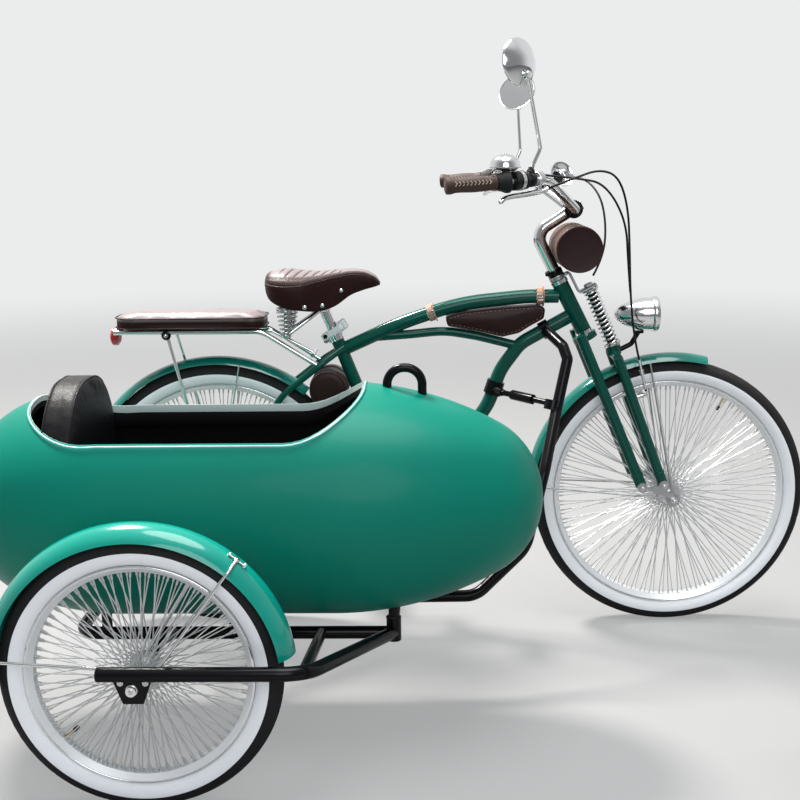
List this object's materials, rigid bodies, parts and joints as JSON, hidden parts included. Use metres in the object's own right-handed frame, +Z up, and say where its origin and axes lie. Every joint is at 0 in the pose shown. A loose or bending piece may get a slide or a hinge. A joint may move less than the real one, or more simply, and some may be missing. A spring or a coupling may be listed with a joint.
{
  "type": "cruiser bicycle with sidecar",
  "caption": "Beach cruiser bicycle with a springer fork, leather bags and a hollow egg-shaped sidecar on its right, on three spoked wheels.",
  "frame": {"origin": "on the floor below the middle of the whole vehicle", "axes": "+X forward, +Y to the rider's left (the sidecar is on the right, at -Y), +Z up"},
  "size_m": [1.874, 1.3222, 1.3993],
  "materials": {
    "green_paint": "green enamel, satin to gloss",
    "mint_paint": "brighter green enamel, gloss",
    "black_paint": "black enamel, gloss",
    "bright_metal": "polished plating",
    "chain_steel": "oiled steel links",
    "tyre_rubber": "black rubber with pale side walls",
    "black_rubber": "matt black rubber",
    "black_plastic": "satin black",
    "maroon_leather": "maroon, lightly worn",
    "brown_leather": "laced tan to brown",
    "black_vinyl": "black vinyl, soft gloss",
    "red_lens": "clear red"
  },
  "bodies": {
    "frame": {"frame": "green_paint", "headset_cups": "bright_metal", "seat_post": "bright_metal", "saddle": "maroon_leather", "saddle_frame": "bright_metal", "rear_rack": "bright_metal", "rack_pad": "maroon_leather", "tail_reflector": "red_lens", "rear_fender": "mint_paint", "rear_fender_stays": "bright_metal", "frame_bag": "maroon_leather", "bag_straps": "brown_leather", "tool_roll": "maroon_leather", "chain": "chain_steel", "rear_axle": "bright_metal", "sidecar_body": "green_paint", "cockpit_trim": "bright_metal", "sidecar_floor": "black_plastic", "sidecar_seat": "black_vinyl", "sidecar_backrest": "black_vinyl", "grab_handle": "black_paint", "sidecar_chassis": "black_paint", "body_mounts": "black_rubber", "head_stay": "black_paint", "sidecar_struts": "black_paint", "sidecar_fender": "mint_paint", "sidecar_fender_stays": "bright_metal", "sidecar_axle": "bright_metal"},
    "steering": {"fork_rear": "green_paint", "fork_front": "green_paint", "fork_links": "bright_metal", "fork_spring": "bright_metal", "spring_bracket": "black_paint", "stem": "bright_metal", "handlebar": "bright_metal", "grips": "brown_leather", "control_housings": "black_plastic", "brake_levers": "bright_metal", "mirrors": "bright_metal", "bell": "bright_metal", "horn": "bright_metal", "headlamp": "bright_metal", "headlamp_bracket": "bright_metal", "front_brake": "bright_metal", "front_fender": "mint_paint", "roll_bag": "maroon_leather", "cables": "black_plastic", "front_axle": "bright_metal"},
    "front_wheel": {"front_tyre": "tyre_rubber", "front_rim": "bright_metal", "front_spokes": "bright_metal"},
    "rear_wheel": {"rear_tyre": "tyre_rubber", "rear_rim": "bright_metal", "rear_spokes": "bright_metal"},
    "sidecar_wheel": {"sidecar_tyre": "tyre_rubber", "sidecar_rim": "bright_metal", "sidecar_spokes": "bright_metal"},
    "crank": {"crankset": "bright_metal"},
    "right_pedal": {"right_pedal": "black_rubber"},
    "left_pedal": {"left_pedal": "black_rubber"}
  },
  "joints": [
    {"name": "steering", "type": "hinge", "parent": "frame", "child": "steering", "pos_m": [0.386, 0.30187, 0.742], "axis": [-0.4509, 0, 0.8926], "range_deg": [-28, 28]},
    {"name": "front_wheel_spin", "type": "hinge", "parent": "steering", "child": "front_wheel", "pos_m": [0.603, 0.30187, 0.334], "axis": [0, 1, 0], "continuous": true},
    {"name": "rear_wheel_spin", "type": "hinge", "parent": "frame", "child": "rear_wheel", "pos_m": [-0.512, 0.30187, 0.334], "axis": [0, 1, 0], "continuous": true},
    {"name": "sidecar_wheel_spin", "type": "hinge", "parent": "frame", "child": "sidecar_wheel", "pos_m": [-0.512, -0.57813, 0.257], "axis": [0, 1, 0], "continuous": true},
    {"name": "crank_spin", "type": "hinge", "parent": "frame", "child": "crank", "pos_m": [-0.042, 0.30187, 0.29], "axis": [0, 1, 0], "continuous": true},
    {"name": "right_pedal_spin", "type": "hinge", "parent": "crank", "child": "right_pedal", "pos_m": [0.123, 0.30187, 0.29], "axis": [0, 1, 0], "continuous": true},
    {"name": "left_pedal_spin", "type": "hinge", "parent": "crank", "child": "left_pedal", "pos_m": [-0.207, 0.30187, 0.29], "axis": [0, 1, 0], "continuous": true}
  ]
}
